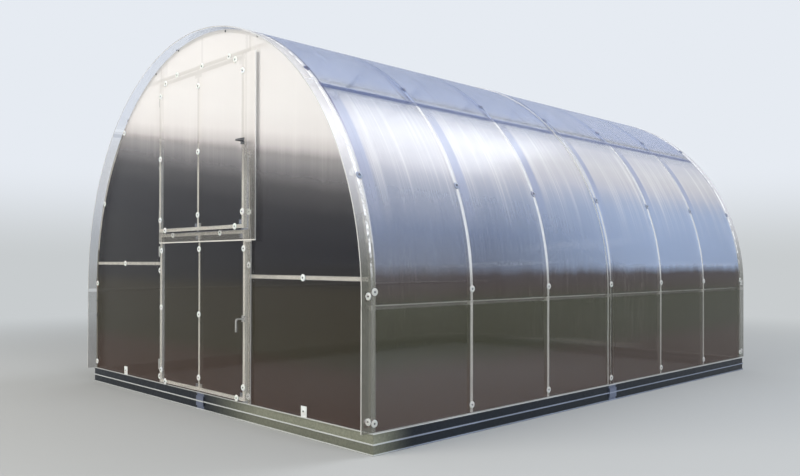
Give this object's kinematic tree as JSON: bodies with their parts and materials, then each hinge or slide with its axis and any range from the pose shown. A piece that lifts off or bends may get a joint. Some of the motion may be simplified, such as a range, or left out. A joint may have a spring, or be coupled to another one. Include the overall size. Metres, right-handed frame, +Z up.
{
  "type": "polycarbonate tunnel greenhouse",
  "caption": "Round-topped tunnel greenhouse of bent square steel tube and clear twin-wall sheet, on a folded steel base, with a two-leaf door that swings out at the front.",
  "frame": {"origin": "middle of the footprint on the underside of the base", "axes": "+Z up, +Y along the tunnel from the door gable in front to the rear gable, +X to the right as seen from the front"},
  "size_m": [3.0546, 4.18, 2.2124],
  "materials": {
    "polycarbonate": "clear twin-wall sheet, fluted",
    "galvanised_tube": "galvanised",
    "galvanised_sheet": "galvanised, rolled",
    "clamp_steel": "galvanised, dull",
    "fitting_steel": "zinc plated",
    "white_plastic": "moulded"
  },
  "bodies": {
    "root": {"arch_1": "galvanised_tube", "arch_2": "galvanised_tube", "arch_3": "galvanised_tube", "arch_4": "galvanised_tube", "arch_5": "galvanised_tube", "arch_6": "galvanised_tube", "arch_7": "galvanised_tube", "base_front": "galvanised_sheet", "base_left": "galvanised_sheet", "base_rear": "galvanised_sheet", "base_right": "galvanised_sheet", "base_tabs": "white_plastic", "front_hinge_pins": "fitting_steel", "front_jamb_hinge_side": "galvanised_tube", "front_jamb_lock_side": "galvanised_tube", "front_lintel": "galvanised_tube", "front_rail_hinge_side": "galvanised_tube", "front_rail_lock_side": "galvanised_tube", "front_sheet_hinge_side": "polycarbonate", "front_sheet_lock_side": "polycarbonate", "front_sheet_over_door": "polycarbonate", "purlin_left": "galvanised_tube", "purlin_right": "galvanised_tube", "rear_door_fittings": "fitting_steel", "rear_jamb_hinge_side": "galvanised_tube", "rear_jamb_lock_side": "galvanised_tube", "rear_leaf_frames": "galvanised_tube", "rear_leaf_sheets": "polycarbonate", "rear_lintel": "galvanised_tube", "rear_rail_hinge_side": "galvanised_tube", "rear_rail_lock_side": "galvanised_tube", "rear_sheet_hinge_side": "polycarbonate", "rear_sheet_lock_side": "polycarbonate", "rear_sheet_over_door": "polycarbonate", "roof_sheet_front": "polycarbonate", "roof_sheet_rear": "polycarbonate", "side_rail_left": "galvanised_tube", "side_rail_right": "galvanised_tube", "tube_clamps": "clamp_steel"},
    "front_door": {"front_lower_leaf_frame": "galvanised_tube", "front_lower_leaf_sheet": "polycarbonate", "front_upper_leaf_frame": "galvanised_tube", "front_upper_leaf_sheet": "polycarbonate", "front_door_handles": "fitting_steel", "front_hinge_barrels": "fitting_steel"}
  },
  "joints": [
    {"name": "front_door_swing", "type": "hinge", "parent": "root", "child": "front_door", "pos_m": [-0.4965, -2.03, 1.06], "axis": [0, 0, -1], "range_deg": [0, 150]}
  ]
}
